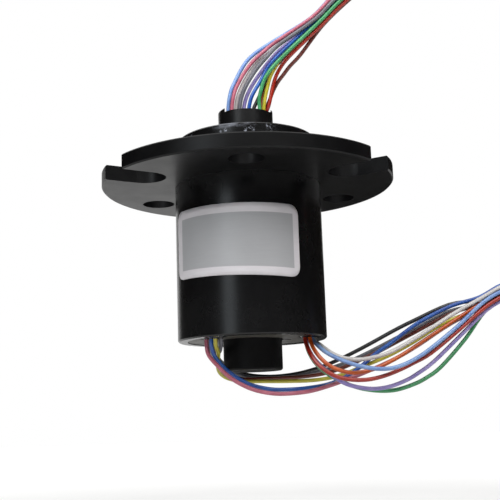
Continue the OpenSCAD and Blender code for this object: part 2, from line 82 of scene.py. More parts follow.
def addNoise(tree, size, detail=3.0, stretch=(1, 1, 1), rough=0.55):
    # cloudy pattern whose patches are about size metres across
    place = tree.nodes.new("ShaderNodeTexCoord")
    scale = tree.nodes.new("ShaderNodeMapping")
    cloud = tree.nodes.new("ShaderNodeTexNoise")
    scale.inputs["Scale"].default_value = stretch
    cloud.inputs["Scale"].default_value = 1 / size
    cloud.inputs["Detail"].default_value = detail
    cloud.inputs["Roughness"].default_value = rough
    tree.links.new(place.outputs["Object"], scale.inputs["Vector"])
    tree.links.new(scale.outputs["Vector"], cloud.inputs["Vector"])
    return cloud.outputs["Fac"]


def addRamp(tree, source, stops):
    ramp = tree.nodes.new("ShaderNodeValToRGB")
    line = ramp.color_ramp
    while len(line.elements) < len(stops):
        line.elements.new(0.5)
    for element, (at, colour) in zip(line.elements, stops):
        element.position = at
        element.color = colour
    tree.links.new(source, ramp.inputs["Fac"])
    return ramp.outputs["Color"]


def addRange(tree, source, low, high, fromLow=0.3, fromHigh=0.7):
    # low to high while the source goes from fromLow to fromHigh, and flat outside that
    spread = tree.nodes.new("ShaderNodeMapRange")
    spread.inputs["From Min"].default_value = fromLow
    spread.inputs["From Max"].default_value = fromHigh
    spread.inputs["To Min"].default_value = low
    spread.inputs["To Max"].default_value = high
    tree.links.new(source, spread.inputs["Value"])
    return spread.outputs["Result"]


def addMath(tree, how, a, b):
    node = tree.nodes.new("ShaderNodeMath")
    node.operation = how
    for socket, value in zip(node.inputs, (a, b)):
        if isinstance(value, (int, float)):
            socket.default_value = value
        else:
            tree.links.new(value, socket)
    return node.outputs["Value"]


def addProduct(tree, first, *others):
    for other in others:
        first = addMath(tree, "MULTIPLY", first, other)
    return first


def addBumps(tree, shader, layers):
    # each layer is a height source and its depth in metres
    before = None
    for source, depth in layers:
        bump = tree.nodes.new("ShaderNodeBump")
        bump.inputs["Distance"].default_value = depth
        tree.links.new(source, bump.inputs["Height"])
        if before:
            tree.links.new(before, bump.inputs["Normal"])
        before = bump.outputs["Normal"]
    tree.links.new(before, shader.inputs["Normal"])


def makeFinish(name, look):
    # a finish from its two tones, its roughness and its grain
    material, tree, shader = addMaterial(name)
    stretch = look.get("stretch", (1, 1, 1))
    clouds = addNoise(tree, look["patch"], 4, stretch)
    grain = addNoise(tree, look["grain"], 2, stretch)
    tree.links.new(addRamp(tree, clouds, [(0.35, tone(*look["dark"])),
                                          (0.65, tone(*look["light"]))]),
                   shader.inputs["Base Color"])
    tree.links.new(addRange(tree, clouds, *look["rough"]), shader.inputs["Roughness"])
    shader.inputs["Metallic"].default_value = look.get("metal", 0)
    shader.inputs["IOR"].default_value = look.get("ior", 1.5)
    shader.inputs["Coat Weight"].default_value = look.get("coat", 0)
    addBumps(tree, shader, [(grain, look["depth"]), (clouds, look.get("wave", look["depth"]))])
    return material


def smoothStep(t):
    t = min(max(t, 0), 1)
    return t * t * (3 - 2 * t)


def closeMesh(name, form, material):
    mesh = bpy.data.meshes.new(name)
    form.to_mesh(mesh)
    form.free()
    mesh.materials.append(material)
    return link(bpy.data.objects.new(name, mesh))


def meshPiece(name, build, body, material):
    # build fills a bmesh; the piece is smooth, rides on a body and takes its finish
    form = bmesh.new()
    build(form)
    bmesh.ops.recalc_face_normals(form, faces=form.faces)
    for face in form.faces:
        face.smooth = True
    piece = closeMesh(name, form, material)
    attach(piece, body)
    return piece


# Each lead: its place in the bundle and its own way to it, in metres
rotorRoutes = {
    "light_blue": (0, [
        (-.0026, -.0019, .0104), (-.0026, -.002, .0118), (-.0024, -.0022, .0135),
        (-.002, -.0022, .0151), (-.0013, -.002, .0167), (-.0005, -.0018, .0183),
        (.0006, -.0016, .02), (.0022, -.0013, .0215), (.0047, -.001, .0232)]),
    "pink": (8, [
        (-.002, -.0025, .0104), (-.002, -.0026, .0118), (-.0018, -.0027, .0134),
        (-.0014, -.0026, .0149), (-.0008, -.0025, .0162), (0, -.0024, .0176),
        (.0012, -.0022, .0193), (.0028, -.002, .0209), (.0052, -.0017, .0229)]),
    "white": (1, [
        (-.0014, -.0018, .0104), (-.0014, -.0019, .012), (-.0011, -.0019, .0139),
        (-.0004, -.0018, .0157), (.0004, -.0017, .0172), (.0014, -.0015, .0188),
        (.0029, -.0012, .0205), (.0056, -.0006, .0228)]),
    "grey": (7, [
        (-.0008, -.0025, .0104), (-.0008, -.0026, .012), (-.0005, -.0027, .0136),
        (.0002, -.0028, .0153), (.0012, -.0028, .017), (.0022, -.0028, .0184),
        (.0033, -.0027, .0197), (.0057, -.0024, .0222)]),
    "violet": (9, [
        (-.0002, -.0019, .0104), (-.0002, -.0019, .0121), (.0002, -.0019, .0138),
        (.0009, -.0019, .0153), (.0018, -.0018, .0168), (.0028, -.0017, .0182),
        (.0039, -.0015, .0197), (.0061, -.0011, .0221)]),
    "blue": (11, [
        (.0005, -.0025, .0104), (.0006, -.0026, .012), (.001, -.0026, .0136),
        (.0016, -.0025, .0148), (.0023, -.0023, .016), (.0031, -.0021, .0175),
        (.0041, -.0021, .0191), (.0066, -.0019, .0217)]),
    "black": (3, [
        (.0012, -.0018, .0104), (.0013, -.0018, .012), (.0018, -.0016, .0132),
        (.0024, -.0014, .0145), (.0029, -.0012, .0158), (.0035, -.0011, .0173),
        (.0045, -.0009, .0188), (.0071, -.0003, .0214)]),
    "green": (6, [
        (.0021, -.0024, .0104), (.0022, -.0025, .0118), (.0022, -.0027, .0133),
        (.0025, -.0028, .0146), (.0029, -.0029, .0159), (.0036, -.0029, .0172),
        (.0047, -.0028, .0186), (.0072, -.0025, .0212)]),
    "yellow": (10, [
        (.0026, -.0017, .0104), (.0028, -.0019, .0119), (.0031, -.0021, .0137),
        (.0035, -.0022, .0153), (.004, -.0022, .017), (.0048, -.002, .0185),
        (.0058, -.0017, .0201), (.0074, -.0014, .0218)]),
    "orange": (2, [
        (.0021, -.001, .0104), (.0023, -.0009, .012), (.0026, -.0006, .0138),
        (.003, -.0004, .0155), (.0036, -.0003, .0172), (.0043, -.0001, .0187),
        (.0052, 0, .0203), (.0069, .0002, .022)]),
    "red": (5, [
        (.0031, -.0009, .0104), (.0031, -.0011, .0114), (.0036, -.0015, .0125),
        (.004, -.0016, .014), (.0043, -.0016, .0154), (.0048, -.0016, .017),
        (.0055, -.0016, .0184), (.0065, -.0016, .0198), (.0081, -.0017, .0214)]),
    "brown": (4, [
        (.0028, -.0001, .0104), (.0031, -.0004, .0122), (.0038, -.0007, .0137),
        (.0043, -.0008, .015), (.0051, -.0008, .0165), (.0061, -.0008, .0178),
        (.0072, -.0008, .0192), (.0089, -.0008, .021)]),
}
rotorRun = [
    (.0115, -.0008, .0262), (.0148, -.0005, .0296), (.0186, -.0003, .0328),
    (.023, -.0001, .0354), (.028, 0, .0366), (.033, 0, .0362), (.0376, 0, .0342),
    (.0414, 0, .031), (.0442, 0, .0268), (.0456, 0, .0224), (.046, 0, .018)]
statorRoutes = {
    "pink": (10, [
        (-.0065, -.0057, -.023), (-.0065, -.0058, -.0242), (-.0062, -.0061, -.0256),
        (-.0049, -.006, -.0272), (-.0035, -.0059, -.0286), (-.0017, -.0058, -.0298),
        (.0004, -.0056, -.0307), (.003, -.0052, -.0312), (.0056, -.0046, -.0312),
        (.0082, -.0034, -.0309), (.0109, -.0021, -.0302), (.0134, -.0013, -.0294),
        (.016, -.0008, -.0285), (.0188, -.0006, -.0274), (.0215, -.0005, -.0262),
        (.0246, -.0004, -.0245), (.0294, -.0002, -.0216)]),
    "blue": (0, [
        (-.0058, -.0063, -.023), (-.0058, -.0063, -.0242), (-.0055, -.0059, -.0255),
        (-.0046, -.0051, -.0268), (-.003, -.0047, -.0283), (-.0007, -.0045, -.0297),
        (.0023, -.0042, -.0305), (.0052, -.0035, -.0306), (.008, -.0022, -.0304),
        (.0109, -.0007, -.0299), (.0135, 0, -.0289), (.0159, .0004, -.0274),
        (.0179, .0007, -.0258), (.0205, .0008, -.0241), (.0228, .0008, -.0225),
        (.0252, .0007, -.021), (.0298, .0004, -.0189)]),
    "yellow": (3, [
        (-.0052, -.007, -.023), (-.0052, -.0065, -.0242), (-.0049, -.0052, -.0253),
        (-.0051, -.0039, -.0266), (-.0049, -.0018, -.0278), (-.0037, .0004, -.0286),
        (-.0016, .0014, -.029), (.0015, .0015, -.0291), (.005, .0014, -.0292),
        (.0085, .0014, -.0292), (.0114, .0014, -.0289), (.0138, .0014, -.0283),
        (.0159, .0014, -.0275), (.0184, .0013, -.0266), (.0206, .0012, -.0257),
        (.0238, .0011, -.0241), (.029, .0009, -.0212)]),
    "brown": (9, [
        (-.0051, -.0058, -.023), (-.0053, -.0052, -.0241), (-.0056, -.0038, -.0252),
        (-.0056, -.0014, -.026), (-.0051, .0013, -.0269), (-.0039, .0033, -.0279),
        (-.0014, .0034, -.0286), (.002, .0032, -.0286), (.0055, .003, -.0286),
        (.009, .0029, -.0284), (.0118, .0027, -.0279), (.0142, .0024, -.0271),
        (.0164, .0022, -.0262), (.0188, .0021, -.0252), (.0215, .0019, -.0239),
        (.0248, .0016, -.0223), (.0294, .001, -.0201)]),
    "grey": (2, [
        (-.0045, -.0064, -.023), (-.0045, -.0057, -.024), (-.0047, -.0042, -.0248),
        (-.0051, -.0015, -.025), (-.0052, .0016, -.0255), (-.0043, .0039, -.0264),
        (-.0023, .0049, -.0278), (.0006, .0048, -.0285), (.004, .0046, -.0285),
        (.0076, .0044, -.0282), (.011, .004, -.0275), (.014, .0037, -.0266),
        (.017, .0034, -.0254), (.02, .003, -.024), (.0234, .0026, -.0224),
        (.0292, .0019, -.0197)]),
    "black": (1, [
        (-.0058, -.0057, -.023), (-.006, -.0049, -.024), (-.0062, -.0033, -.0248),
        (-.0062, 0, -.0249), (-.0058, .0032, -.0254), (-.0042, .0055, -.0267),
        (-.001, .0061, -.0278), (.0024, .0059, -.0282), (.006, .0057, -.028),
        (.0094, .0054, -.0273), (.0126, .005, -.0262), (.0156, .0045, -.0249),
        (.0185, .0038, -.0235), (.0215, .003, -.022), (.0244, .0024, -.0207),
        (.0296, .0014, -.0186)]),
    "white": (8, [
        (.0087, -.0011, -.023), (.0092, -.0014, -.0237), (.0099, -.002, -.0243),
        (.0105, -.0027, -.0249), (.0112, -.0033, -.0255), (.0122, -.0037, -.0261),
        (.0135, -.0039, -.0265), (.0152, -.004, -.0267), (.017, -.0039, -.0265),
        (.0191, -.0035, -.026), (.0212, -.003, -.0251), (.0231, -.0024, -.0241),
        (.0254, -.0018, -.0228), (.0298, -.001, -.0202)]),
    "light_blue": (7, [
        (.0086, -.0019, -.023), (.009, -.0026, -.0239), (.0096, -.0036, -.0247),
        (.0104, -.0044, -.0255), (.0116, -.0051, -.0263), (.0132, -.0058, -.0271),
        (.0152, -.0061, -.0278), (.0173, -.0061, -.0282), (.0194, -.0059, -.0282),
        (.0213, -.0055, -.0277), (.0233, -.0047, -.0268), (.0256, -.0037, -.0254),
        (.03, -.002, -.0222)]),
    "red": (6, [
        (.0076, -.0025, -.023), (.0077, -.0034, -.0241), (.0081, -.0048, -.0255),
        (.0089, -.0057, -.027), (.0101, -.0061, -.0282), (.0114, -.0062, -.029),
        (.013, -.0062, -.0295), (.0147, -.006, -.0297), (.0166, -.0056, -.0296),
        (.0188, -.0051, -.0291), (.021, -.0045, -.0283), (.023, -.0039, -.0274),
        (.0256, -.0031, -.0261), (.03, -.0018, -.0229)]),
    "orange": (11, [
        (.0083, -.0028, -.023), (.0084, -.0035, -.024), (.0089, -.0045, -.0253),
        (.0097, -.0051, -.0265), (.0108, -.0053, -.0275), (.0122, -.0053, -.0282),
        (.0139, -.0051, -.0286), (.0156, -.0048, -.0285), (.0176, -.0042, -.028),
        (.0199, -.0034, -.027), (.022, -.0025, -.0259), (.0242, -.0016, -.0246),
        (.0292, -.0009, -.0216)]),
    "violet": (5, [
        (.0078, -.0017, -.023), (.0079, -.0022, -.0242), (.0083, -.003, -.0254),
        (.009, -.0035, -.0266), (.0102, -.0037, -.0279), (.0116, -.0038, -.0291),
        (.0132, -.0038, -.0301), (.0153, -.0038, -.0307), (.0174, -.0037, -.0309),
        (.0196, -.0035, -.0306), (.0219, -.0031, -.0298), (.0236, -.0027, -.0289),
        (.0262, -.002, -.0272), (.0306, -.0011, -.0234)]),
    "green": (4, [
        (.0079, -.0009, -.023), (.0079, -.0012, -.0242), (.0083, -.0018, -.0256),
        (.0091, -.0023, -.027), (.0104, -.0026, -.0283), (.0121, -.0028, -.0294),
        (.014, -.0028, -.0303), (.016, -.0028, -.0309), (.0183, -.0027, -.0312),
        (.0205, -.0025, -.0311), (.023, -.0021, -.0304), (.025, -.0017, -.0295),
        (.0274, -.0012, -.0279), (.0314, -.0002, -.0239)]),
}
statorRun = [
    (.0344, 0, -.0188), (.038, 0, -.017), (.0416, 0, -.0164), (.0448, 0, -.0174),
    (.047, 0, -.02), (.0479, 0, -.024), (.048, 0, -.028), (.048, 0, -.032), (.048, 0, -.036)]
# a bundle is nine leads round three; a coil's turns are counted in half turns
leads = {"diameter": 0.0006, "length": 0.25, "steps": 4, "outer": 9, "outerRadius": 0.0011,
         "innerRadius": 0.00042, "coilRadius": 0.0165, "coilHalfTurns": 4.1,
         "pointsPerHalfTurn": 28, "coilStep": 0.00285, "stepFrom": 1.76, "stepOver": 0.15,
         "endFrom": 3.55, "endOver": 0.25, "endIn": 0.002, "bare": 0.003, "strand": 0.00034,
         "bareSteps": 4}

# jacket of each lead: darker tone, lighter tone
leadTones = {
    "light_blue": ((104, 140, 205), (142, 176, 226)), "pink": ((176, 84, 104), (198, 108, 128)),
    "white": ((208, 202, 198), (226, 221, 218)), "grey": ((88, 88, 96), (112, 112, 120)),
    "violet": ((140, 124, 196), (170, 156, 216)), "blue": ((18, 70, 160), (36, 98, 186)),
    "black": ((16, 16, 18), (26, 26, 29)), "green": ((44, 136, 78), (72, 164, 104)),
    "yellow": ((188, 176, 40), (214, 202, 66)), "orange": ((196, 74, 14), (218, 98, 26)),
    "red": ((156, 28, 12), (182, 44, 20)), "brown": ((92, 30, 20), (116, 44, 30)),
}
paintedShadeByBundle = {"rotor": 1, "stator": 0.85}  # painted shade: the lower bundle's jackets are darkened to stand in for the shade under the body


def makeInsulation(side, colour):
    # extruded jacket: glossy, faintly wavy, a little uneven in tone; the lower bundle's copy is
    # darkened as painted shade
    dark, light = ([part * paintedShadeByBundle[side] for part in shade] for shade in leadTones[colour])
    return makeFinish(side + "_jacket_" + colour, {
        "dark": dark, "light": light, "patch": 0.0022, "grain": 0.0004, "rough": (0.26, 0.36),
        "depth": 0.000002, "wave": 0.000008, "ior": 1.48, "coat": 0.15})


jackets = {side: {colour: makeInsulation(side, colour) for colour in leadTones}
           for side in paintedShadeByBundle}
tinned = makeFinish("tinnedCopper", {
    "dark": (168, 164, 158), "light": (206, 203, 198), "patch": 0.0006, "grain": 0.00012,
    "rough": (0.25, 0.45), "depth": 0.00002, "metal": 1})


def cell(k):
    # where lead k lies across the bundle
    outer = leads["outer"]
    if k < outer:
        angle, radius = 360 / outer * k, leads["outerRadius"]
    else:
        angle, radius = 60 + 120 * (k - outer), leads["innerRadius"]
    return radius * cos(radians(angle)), radius * sin(radians(angle))


def besideRun(run, k):
    u, v = cell(k)
    line = []
    for i, p in enumerate(run):
        ahead = Vector(run[min(i + 1, len(run) - 1)]) - Vector(run[max(i - 1, 0)])
        ahead.y = 0
        ahead.normalize()
        line.append(Vector(p) + u * Vector((-ahead.z, 0, ahead.x)) + Vector((0, v, 0)))
    return line


def smoothLine(points, steps):
    # a smooth curve through the points
    line = []
    for i in range(len(points) - 1):
        a, b = points[max(i - 1, 0)], points[i]
        c, d = points[i + 1], points[min(i + 2, len(points) - 1)]
        for s in range(steps):
            t = s / steps
            line.append(0.5 * (2 * b + (c - a) * t + (2 * a - 5 * b + 4 * c - d) * t ** 2
                               + (3 * b - 3 * c + d - a) * t ** 3))
    return line + [points[-1]]


def coilLine(end, k):
    # two turns side by side; the first moves over just before it meets the bundle that comes in
    u, v = cell(k)
    middle = Vector(end) + Vector((leads["coilRadius"], 0, 0))
    line = []
    for j in range(1, round(leads["coilHalfTurns"] * leads["pointsPerHalfTurn"])):
        turned = j / leads["pointsPerHalfTurn"]
        over = leads["coilStep"] * smoothStep((turned - leads["stepFrom"]) / leads["stepOver"])
        drawn = leads["endIn"] * smoothStep((turned - leads["endFrom"]) / leads["endOver"])
        r = leads["coilRadius"] - u - drawn
        angle = pi * (1 + turned)
        line.append(middle + Vector((r * cos(angle), v + over, r * sin(angle))))
    return line


def cutTo(line, length):
    kept = [line[0]]
    for p in line[1:]:
        step = (p - kept[-1]).length
        if step >= length:
            kept.append(kept[-1] + (p - kept[-1]) * (length / step))
            return kept
        kept.append(p)
        length -= step
    return kept


def tubePiece(name, line, diameter, material, body):
    data = bpy.data.curves.new(name, "CURVE")
    data.dimensions = "3D"
    data.bevel_depth = diameter / 2
    data.bevel_resolution = 3
    data.use_fill_caps = True
    spline = data.splines.new("POLY")
    spline.points.add(len(line) - 1)
    for point, p in zip(spline.points, line):
        point.co = (*p, 1)
    data.materials.append(material)
    piece = link(bpy.data.objects.new(name, data))
    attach(piece, body)
    return piece


def makeLeads(side, body, routes, run):
    for colour, (k, way) in routes.items():
        points = [Vector(p) for p in way] + besideRun(run, k)
        line = cutTo(smoothLine(points, leads["steps"]) + coilLine(run[-1], k), leads["length"])
        word = "".join(part.title() for part in colour.split("_"))
        lead = tubePiece(f"{side}Lead{word}", line, leads["diameter"], jackets[side][colour],
                         body)
        step = (line[-1] - line[-2]).normalized() * leads["bare"] / leads["bareSteps"]
        strand = [line[-1] + step * s for s in range(-1, leads["bareSteps"] + 1)]
        tip = tubePiece(f"{side}Tip{word}", strand, leads["strand"], tinned, body)
        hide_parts(f"{side}_lead_{colour}", f"{side}_coil")


makeLeads("rotor", "rotor", rotorRoutes, rotorRun)
makeLeads("stator", "housing", statorRoutes, statorRun)
print("leads laid")

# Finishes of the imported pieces: two tones, the sizes of patches and grain, the range of
# roughness, and the depths of the grain's bumps and of the patches' waves
finishes = {
    "bodyPlastic": {"dark": (7, 7, 8), "light": (11, 11, 12), "patch": 0.006, "grain": 0.0003,
                    "rough": (0.25, 0.29), "depth": 0.000003, "wave": 0.000002, "ior": 1.36},
    "flangePlastic": {"dark": (5, 5, 6), "light": (9, 9, 10), "patch": 0.005,
                      "grain": 0.0004, "rough": (0.33, 0.40), "depth": 0.000002, "ior": 1.27},
    "turnedBlack": {"dark": (9, 9, 10), "light": (14, 14, 15), "patch": 0.003,
                    "grain": 0.00012, "rough": (0.30, 0.40), "depth": 0.000004,
                    "stretch": (0.2, 0.2, 3), "ior": 1.34},
    # the shaft stub is a rougher, matt copy of the turned black; its darker tone is painted
    # shade under the body
    "stubBlackPaintedShade": {"dark": (5, 5, 6), "light": (9, 9, 9), "patch": 0.003, "grain": 0.00015,
                  "rough": (0.5, 0.62), "depth": 0.000006, "stretch": (0.2, 0.2, 3),
                  "ior": 1.2},
    # painted shade: the end cap's grey is set darker than its own pale grey, to stand in for the
    # shade it lies in
    "capGreyPaintedShade": {"dark": (64, 62, 57), "light": (77, 75, 70), "patch": 0.003,
                   "grain": 0.0003, "rough": (0.40, 0.55), "depth": 0.000012, "ior": 1.3},
    "potting": {"dark": (10, 10, 11), "light": (17, 17, 18), "patch": 0.0016, "grain": 0.0004,
                "rough": (0.14, 0.34), "depth": 0.00003, "wave": 0.00012},
    "bearingSteel": {"dark": (196, 198, 202), "light": (222, 223, 226), "patch": 0.002,
                     "grain": 0.0001, "rough": (0.12, 0.24), "depth": 0.000002, "metal": 1,
                     "stretch": (0.3, 0.3, 3)},
    "cageBrass": {"dark": (172, 126, 58), "light": (202, 156, 84), "patch": 0.0012,
                  "grain": 0.00015, "rough": (0.25, 0.42), "depth": 0.000006, "metal": 1},
    "tubeMetal": {"dark": (160, 162, 166), "light": (188, 190, 193), "patch": 0.002,
                  "grain": 0.00008, "rough": (0.28, 0.44), "depth": 0.000006, "metal": 1,
                  "stretch": (0.2, 0.2, 4)},
    "ringGold": {"dark": (208, 160, 66), "light": (234, 188, 96), "patch": 0.0015,
                 "grain": 0.00006, "rough": (0.12, 0.26), "depth": 0.000003, "metal": 1,
                 "stretch": (0.2, 0.2, 5)},
    "barrierPlastic": {"dark": (218, 212, 196), "light": (234, 230, 218), "patch": 0.002,
                       "grain": 0.0002, "rough": (0.38, 0.52), "depth": 0.00001},
    "spacerBrass": {"dark": (166, 128, 66), "light": (194, 156, 90), "patch": 0.002,
                    "grain": 0.0001, "rough": (0.26, 0.44), "depth": 0.000006, "metal": 1,
                    "stretch": (0.2, 0.2, 4)},
    "boardGreen": {"dark": (24, 82, 44), "light": (38, 108, 58), "patch": 0.001,
                   "grain": 0.00025, "rough": (0.22, 0.36), "depth": 0.00002},
    "brushGold": {"dark": (206, 156, 62), "light": (232, 186, 90), "patch": 0.0008,
                  "grain": 0.0001, "rough": (0.14, 0.28), "depth": 0.000004, "metal": 1},
    "hookup": {"dark": (150, 66, 34), "light": (184, 92, 50), "patch": 0.0015, "grain": 0.0003,
               "rough": (0.28, 0.42), "depth": 0.00001},
    "bundleMix": {"dark": (110, 84, 96), "light": (140, 116, 128), "patch": 0.0015,
                  "grain": 0.0003, "rough": (0.3, 0.45), "depth": 0.00002},
    "tieWeave": {"dark": (18, 18, 19), "light": (36, 36, 38), "patch": 0.0009, "grain": 0.0002,
                 "rough": (0.6, 0.8), "depth": 0.00006},
}
wearsFinish = {
    "housing": "bodyPlastic", "flange": "flangePlastic", "end_cap": "capGreyPaintedShade",
    "lead_seal_left": "potting", "lead_seal_right": "potting", "rotor_potting": "potting",
    "rotor_tube": "tubeMetal", "top_collar": "turnedBlack", "shaft_end": "stubBlackPaintedShade",
    "upper_outer_race": "bearingSteel", "upper_inner_race": "bearingSteel",
    "upper_balls": "bearingSteel", "lower_outer_race": "bearingSteel",
    "lower_inner_race": "bearingSteel", "lower_balls": "bearingSteel",
    "upper_cage": "cageBrass", "lower_cage": "cageBrass", "slip_rings": "ringGold",
    "ring_barriers": "barrierPlastic", "stack_spacers": "spacerBrass",
    "rotor_wires": "hookup", "stator_wires": "hookup", "brush_board_left": "boardGreen",
    "brush_board_right": "boardGreen", "brushes_left": "brushGold",
    "brushes_right": "brushGold", "rotor_coil": "bundleMix", "stator_coil": "bundleMix",
    "rotor_coil_band": "tieWeave", "stator_coil_band": "tieWeave",
}
made = {name: makeFinish(name, look) for name, look in finishes.items()}

# the rubbed patch on the boss: farther than side from the axis, in front of front, above low
# and left of right; its haze lies just under high, from hazeLeft to hazeRight
scuffs = {"colour": (168, 172, 184), "side": 0.0104, "front": -0.0075, "frontSoft": 0.001,
          "low": 0.0056, "lowSoft": 0.0003, "high": 0.0068, "right": 0.0045, "rightSoft": 0.002,
          "fleck": 0.00042, "fleckRange": (0.53, 0.62), "patch": 0.0019,
          "patchRange": (0.46, 0.56), "haze": 0.35, "hazeDeep": 0.0004, "hazeLeft": -0.0055,
          "hazeRight": 0.0015, "hazeSoft": 0.002, "streak": 0.0007,
          "streakRange": (0.42, 0.6), "rougher": 0.25}


def addPosition(tree):
    place = tree.nodes.new("ShaderNodeTexCoord")
    parts = tree.nodes.new("ShaderNodeSeparateXYZ")
    tree.links.new(place.outputs["Object"], parts.inputs["Vector"])
    return place.outputs["Object"], parts.outputs["X"], parts.outputs["Y"], parts.outputs["Z"]


def addReach(tree, place):
    # distance from the shaft's axis
    outward = tree.nodes.new("ShaderNodeVectorMath")
    outward.operation = "MULTIPLY"
    outward.inputs[1].default_value = (1, 1, 0)
    reach = tree.nodes.new("ShaderNodeVectorMath")
    reach.operation = "LENGTH"
    tree.links.new(place, outward.inputs[0])
    tree.links.new(outward.outputs["Vector"], reach.inputs[0])
    return reach.outputs["Value"]


def addScuffs(material):
    # pale flecks and a streaky haze where hands and tools meet the boss's front edge
    tree = material.node_tree
    shader = tree.nodes["Principled BSDF"]
    place, x, y, z = addPosition(tree)
    front, low, high, right = (scuffs[key] for key in ("front", "low", "high", "right"))
    where = addProduct(
        tree, addRange(tree, z, 0, 1, low, low + scuffs["lowSoft"]),
        addRange(tree, y, 1, 0, front - scuffs["frontSoft"], front + scuffs["frontSoft"]),
        addRange(tree, x, 1, 0, right - scuffs["rightSoft"], right),
        addMath(tree, "GREATER_THAN", addReach(tree, place), scuffs["side"]))
    flecks = addRange(tree, addNoise(tree, scuffs["fleck"], 6, (0.8, 1, 1.1), 0.7), 0, 1,
                      *scuffs["fleckRange"])
    patches = addRange(tree, addNoise(tree, scuffs["patch"], 1), 0, 1, *scuffs["patchRange"])
    streaks = addRange(tree, addNoise(tree, scuffs["streak"], 4, (0.3, 1, 1)), 0, 1,
                       *scuffs["streakRange"])
    left, right, soft = scuffs["hazeLeft"], scuffs["hazeRight"], scuffs["hazeSoft"]
    haze = addProduct(
        tree, addRange(tree, z, 0, scuffs["haze"], high - scuffs["hazeDeep"], high), streaks,
        addRange(tree, x, 1, 0, right - soft, right), addRange(tree, x, 0, 1, left, left + soft))
    rubbed = addProduct(tree, where,
                        addMath(tree, "MAXIMUM", addProduct(tree, flecks, patches), haze))
    mix = tree.nodes.new("ShaderNodeMix")
    mix.data_type = "RGBA"
    under, over, mixed = mix.inputs[6], mix.inputs[7], mix.outputs[2]  # its colour sockets
    tree.links.new(rubbed, mix.inputs["Factor"])
    tree.links.new(shader.inputs["Base Color"].links[0].from_socket, under)
    over.default_value = tone(*scuffs["colour"])
    tree.links.new(mixed, shader.inputs["Base Color"])
    rough = shader.inputs["Roughness"].links[0].from_socket
    tree.links.new(addMath(tree, "ADD", rough, addProduct(tree, rubbed, scuffs["rougher"])),
                   shader.inputs["Roughness"])


addScuffs(made["bodyPlastic"])
for name, piece in nodes.items():
    if name in wearsFinish:
        material = made[wearsFinish[name]]
    elif "_lead_" in name:
        side, colour = name.split("_lead_")
        material = jackets[side][colour]
    else:
        continue
    for slot in piece.material_slots:
        slot.material = material
print("finishes on")

# the sheet lies round the body from one angle to the other, and its edges slope a little;
# left, right, top and bottom are its border, and mapHigh is its height in the UV map
foil = {"radius": 0.01112, "from": 201.0, "to": 309.4, "topLeft": -0.0045, "topRight": -0.00485,
        "bottomLeft": -0.0145, "bottomRight": -0.0153, "corner": 0.0015, "thick": 0.00009,
        "left": 0.0016, "right": 0.0010, "top": 0.0013, "bottom": 0.0012, "mapHigh": 10,
        "columns": 48, "rows": 14, "fieldShade": 0.5, "unevenness": 0.12}
foilWide = radians(foil["to"] - foil["from"]) * foil["radius"]


def makeLabelFoil():
    # silver border round a flat grey field, brushed along the sheet
    material, tree, shader = addMaterial("labelFoil")
    place = tree.nodes.new("ShaderNodeUVMap")
    place.uv_map = "sheet"
    parts = tree.nodes.new("ShaderNodeSeparateXYZ")
    tree.links.new(place.outputs["UV"], parts.inputs["Vector"])
    along, down = parts.outputs["X"], parts.outputs["Y"]
    field = addProduct(
        tree, addMath(tree, "GREATER_THAN", along, foil["left"] * 1000),
        addMath(tree, "LESS_THAN", along, (foilWide - foil["right"]) * 1000),
        addMath(tree, "GREATER_THAN", down, foil["top"] * 1000),
        addMath(tree, "LESS_THAN", down, foil["mapHigh"] - foil["bottom"] * 1000))
    clouds = addNoise(tree, 0.003, 3)
    brushed = addNoise(tree, 0.00012, 2, (0.04, 0.04, 1))
    uneven = addProduct(tree, addMath(tree, "ADD", clouds, brushed), foil["unevenness"])
    shade = addMath(tree, "ADD", addProduct(tree, field, foil["fieldShade"]), uneven)
    tree.links.new(addRamp(tree, shade, [
        (0.06, tone(196, 192, 195)), (0.2, tone(212, 208, 211)), (0.5, tone(212, 208, 211)),
        (0.56, tone(158, 158, 160)), (0.75, tone(168, 168, 170))]), shader.inputs["Base Color"])
    tree.links.new(addRange(tree, brushed, 0.34, 0.5), shader.inputs["Roughness"])
    addBumps(tree, shader, [(brushed, 0.000004), (clouds, 0.00001)])
    return material


def buildLabel(form):
    corner, columns, rows = foil["corner"], foil["columns"], foil["rows"]
    near = [0, 0.04, 0.15, 0.35, 0.6, 1]  # closer together at the corner's steep end
    stops = [corner * s for s in near]
    stops += [corner + (foilWide - 2 * corner) * i / columns for i in range(1, columns)]
    stops += [foilWide - corner * s for s in reversed(near)]
    uv = form.loops.layers.uv.new("sheet")
    grid, flat = [], {}
    for s in stops:
        t = s / foilWide
        high = foil["topLeft"] + (foil["topRight"] - foil["topLeft"]) * t
        low = foil["bottomLeft"] + (foil["bottomRight"] - foil["bottomLeft"]) * t
        reach = min(s, foilWide - s, corner)
        cut = corner - sqrt(max(corner ** 2 - (corner - reach) ** 2, 0))
        angle = radians(foil["from"]) + s / foil["radius"]
        column = []
        for j in range(rows + 1):
            z = high - cut + (low - high + 2 * cut) * j / rows
            vert = form.verts.new((foil["radius"] * cos(angle), foil["radius"] * sin(angle), z))
            flat[vert] = (s * 1000, (high - z) / (high - low) * foil["mapHigh"])
            column.append(vert)
        grid.append(column)
    for a, b in zip(grid, grid[1:]):
        for j in range(rows):
            face = form.faces.new((a[j], a[j + 1], b[j + 1], b[j]))
            for loop in face.loops:
                loop[uv].uv = flat[loop.vert]


label = meshPiece("labelSheet", buildLabel, "housing", makeLabelFoil())
sheet = label.modifiers.new("thickness", "SOLIDIFY")
sheet.thickness = foil["thick"]
sheet.offset = -1
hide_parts("label")
print("label on")

meniscus = {"rise": 0.00035, "reach": 0.00055, "fall": 2.4, "sunk": 0.00002, "rings": 5,
            "sides": 20}


